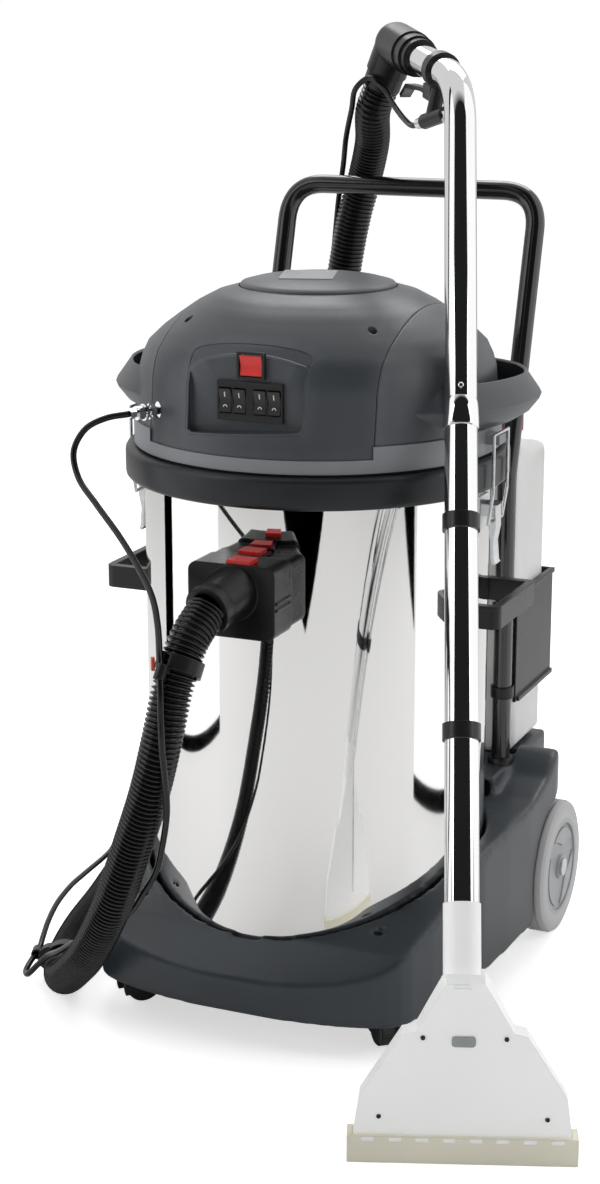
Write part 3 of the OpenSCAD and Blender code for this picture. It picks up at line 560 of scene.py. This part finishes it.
# an upright stroke above a small ring on each rocker
ROCKER_X = (-30.5, -12.5, 13.5, 31.5)
UPPER_SLOPE, LOWER_FACE = Vector((0, -0.24, 0.97)), unit(0, -0.97, -0.13)
OFF_RING = ((-0.3, 1.7), (0.7, 1.7), (0.7, 2.7), (-0.3, 2.7))
for i, x in enumerate(ROCKER_X):
    body = "rocker_%d" % (i + 1)
    slab(body + "_on", pt(x, -204.75, 792), X, UPPER_SLOPE, 1.3, 6.5, 0.6, 0.4, "switch_black",
         body, EXTRA["marks"], 0.1)
    ring_on(body + "_off", pt(x, -203.6, 777.5), LOWER_FACE, OFF_RING, "switch_black", body, 24,
            EXTRA["marks"])

RIVET_X, RIVET_SEAT = -164.0, DRUM_R - 0.5
rivet_y = -math.sqrt(RIVET_SEAT ** 2 - RIVET_X ** 2)
dot("drum_rivet", pt(RIVET_X, rivet_y, 151), unit(RIVET_X, rivet_y, 0), 4.5, 1.2, "dark_steel",
    "machine")
slab("clip_tab", pt(-27.5, -400, 521), unit(0.55, -0.83, 0), Z, 9, 15, 4, 2, "red_plastic",
     mat=EXTRA["orange"])

# floor tool: window and notches
TOOL_AT = pt(347, -410, 0)
ALONG, OUT = unit(0.936, 0.352, 0), unit(0.352, -0.936, 0)
NOTCHES = (-104, -74, -44, -15, 15, 44, 74, 104)


def tool_pt(u, out, z):
    """A point of the floor tool: along its lip, out of its face and up, in millimetres."""
    return TOOL_AT + (ALONG * u + OUT * out + Z * z) / 1000


slab("tool_window", tool_pt(-1, 23.6, 151), ALONG, unit(0.04, -0.11, 0.99), 26, 13, 1.2, 4,
     "tool_white", "wand", EXTRA["window"])
for i, u in enumerate(NOTCHES):
    slab("lip_notch_%d" % i, tool_pt(u, 14.9, 28.7), ALONG, Z, 14, 5, 0.7, 1, "tool_white", "wand")

# ---------- stage: floor, reflectors, lights, world ----------


def stage_mesh(name, verts, mat, hidden=True):
    """One flat face of the stage; a hidden one shows in reflections alone."""
    me = bpy.data.meshes.new(name)
    me.from_pydata([tuple(v) for v in verts], [], [tuple(range(len(verts)))])
    o = bpy.data.objects.new(name, me)
    bpy.context.scene.collection.objects.link(o)
    o.data.materials.append(mat)
    if hidden:
        o.visible_camera = o.visible_diffuse = o.visible_shadow = False


def emitter(name, color, strength):
    """A material that gives off an even light."""
    m = bpy.data.materials.new(name)
    m.use_nodes = True
    m.node_tree.nodes.clear()
    e = node(m.node_tree, "ShaderNodeEmission", Color=list(color) + [1], Strength=strength)
    out = m.node_tree.nodes.new("ShaderNodeOutputMaterial")
    m.node_tree.links.new(e.outputs[0], out.inputs[0])
    return m


FLOOR_GLOW, FLOOR_HALF = 0.6, 60


def pale_floor():
    """White floor material, a little brighter where it is looked at directly."""
    m = bpy.data.materials.new("floor_pale")
    m.use_nodes = True
    t = m.node_tree
    b = t.nodes["Principled BSDF"]
    b.inputs["Base Color"].default_value = (0.92, 0.92, 0.92, 1)
    b.inputs["Roughness"].default_value = 0.7
    glow = node(t, "ShaderNodeEmission", Color=(1, 1, 1, 1))
    path_kind = t.nodes.new("ShaderNodeLightPath")
    level = t.nodes.new("ShaderNodeMath")
    level.operation = "MULTIPLY"
    level.inputs[1].default_value = FLOOR_GLOW
    total = t.nodes.new("ShaderNodeAddShader")
    t.links.new(path_kind.outputs["Is Camera Ray"], level.inputs[0])
    t.links.new(level.outputs[0], glow.inputs["Strength"])
    t.links.new(b.outputs[0], total.inputs[0])
    t.links.new(glow.outputs[0], total.inputs[1])
    t.links.new(total.outputs[0], t.nodes["Material Output"].inputs["Surface"])
    return m


stage_mesh("floor", [(-FLOOR_HALF, -FLOOR_HALF, 0), (FLOOR_HALF, -FLOOR_HALF, 0),
                     (FLOOR_HALF, FLOOR_HALF, 0), (-FLOOR_HALF, FLOOR_HALF, 0)], pale_floor(),
           hidden=False)

AXIS = pt(0, 0, 0)
CAM_AZ = math.atan2(camera.location.y - AXIS.y, camera.location.x - AXIS.x)


def around(deg, dist, z):
    """A point round the drum; deg is counted from the camera's side, to the right."""
    a = CAM_AZ + math.radians(deg)
    return Vector((AXIS.x + dist * math.cos(a), AXIS.y + dist * math.sin(a), z))


# hidden cards that the polished drum mirrors as dark streaks and white panels
black = emitter("card_black", (0, 0, 0), 0.0)
white = emitter("card_white", (1, 1, 1), 1.15)


def ground(name, points):
    """A black patch on the floor that only reflections see; points in drum-centred metres."""
    stage_mesh(name, [pt(x * 1000, y * 1000, 2) for x, y in points], black)


ground("card_wedge", ((0.53, -1.94), (1.39, -2.77), (4.6, -6.2), (-0.4, -7.5), (0.07, -3.09)))
ground("card_stripe", ((1.96, -0.13), (3.03, -0.18), (6.0, -0.3), (6.0, -1.3), (2.99, -0.58)))


def card(name, a, b, z0, z1, mat):
    """An upright card between two floor points in drum-centred metres."""
    lo, hi = pt(a[0] * 1000, a[1] * 1000, 0), pt(b[0] * 1000, b[1] * 1000, 0)
    stage_mesh(name, [lo + Z * z0, hi + Z * z0, hi + Z * z1, lo + Z * z1], mat)


CARD_TOP, LEFT_FOOT, RIGHT_FOOT = 2.6, 0.03, 0.04
LEFT_A, LEFT_B, LEFT_C = (-0.86, -1.02), (-1.16, -0.2), (-1.24, 0.0)
card("panel_left", LEFT_A, LEFT_B, LEFT_FOOT, CARD_TOP, white)
card("panel_left_foot", LEFT_A, LEFT_B, 0.0, LEFT_FOOT, black)
card("panel_left_edge", LEFT_B, LEFT_C, 0.0, CARD_TOP, black)
RIGHT_A, RIGHT_B = (1.0, -0.11), (0.58, 0.85)
card("panel_right", RIGHT_A, RIGHT_B, RIGHT_FOOT, CARD_TOP, white)
card("panel_right_foot", RIGHT_A, RIGHT_B, 0.0, RIGHT_FOOT, black)


def softbox(name, deg, dist, z, size, power, aim=(0, 0, 0.5), glossy=True):
    """A soft rectangular light around the drum, aimed at a point given from its foot."""
    light = bpy.data.lights.new(name, "AREA")
    light.shape = "RECTANGLE"
    light.size, light.size_y = size
    light.energy = power
    o = bpy.data.objects.new(name, light)
    o.location = around(deg, dist, z)
    target = AXIS + Vector(aim)
    o.rotation_euler = (target - o.location).to_track_quat("-Z", "Y").to_euler()
    o.visible_glossy = glossy
    bpy.context.scene.collection.objects.link(o)


softbox("key_left", -75, 2.6, 2.1, (1.6, 1.8), 26)
softbox("key_right", 70, 2.6, 1.9, (1.2, 1.8), 16)
softbox("top_back", 170, 1.8, 2.9, (2.2, 1.4), 34, (0, 0, 0.8))
softbox("fill", 5, 3.4, 1.8, (2.0, 1.6), 12, glossy=False)

def studio_world():
    """Pale surroundings, dark high up in front of the object, and white where seen directly."""
    w = bpy.data.worlds.new("studio")
    w.use_nodes = True
    t = w.node_tree
    link = t.links.new
    coord = node(t, "ShaderNodeTexCoord")
    front = camera.location - AXIS
    front.z = 0
    front.normalize()
    toward = t.nodes.new("ShaderNodeVectorMath")
    toward.operation = "DOT_PRODUCT"
    toward.inputs[1].default_value = front
    link(coord.outputs["Generated"], toward.inputs[0])
    parts = t.nodes.new("ShaderNodeSeparateXYZ")
    link(coord.outputs["Generated"], parts.inputs[0])
    facing = node(t, "ShaderNodeMapRange", From_Min=0.05, From_Max=0.3)
    high = node(t, "ShaderNodeMapRange", From_Min=0.12, From_Max=0.26)
    link(toward.outputs["Value"], facing.inputs[0])
    link(parts.outputs["Z"], high.inputs[0])
    both = t.nodes.new("ShaderNodeMath")
    both.operation = "MULTIPLY"
    link(facing.outputs[0], both.inputs[0])
    link(high.outputs[0], both.inputs[1])
    studio = mix_colour(t, (0.74, 0.735, 0.73, 1), (0.015, 0.015, 0.016, 1))
    link(both.outputs[0], studio.inputs[MIX_FACTOR])
    seen = t.nodes.new("ShaderNodeLightPath")
    pick = mix_colour(t, b=(1, 1, 1, 1))
    link(seen.outputs["Is Camera Ray"], pick.inputs[MIX_FACTOR])
    link(studio.outputs[MIX_OUT], pick.inputs[MIX_A])
    link(pick.outputs[MIX_OUT], t.nodes["Background"].inputs[0])
    return w


bpy.context.scene.world = studio_world()
bpy.context.scene.view_settings.view_transform = "Standard"
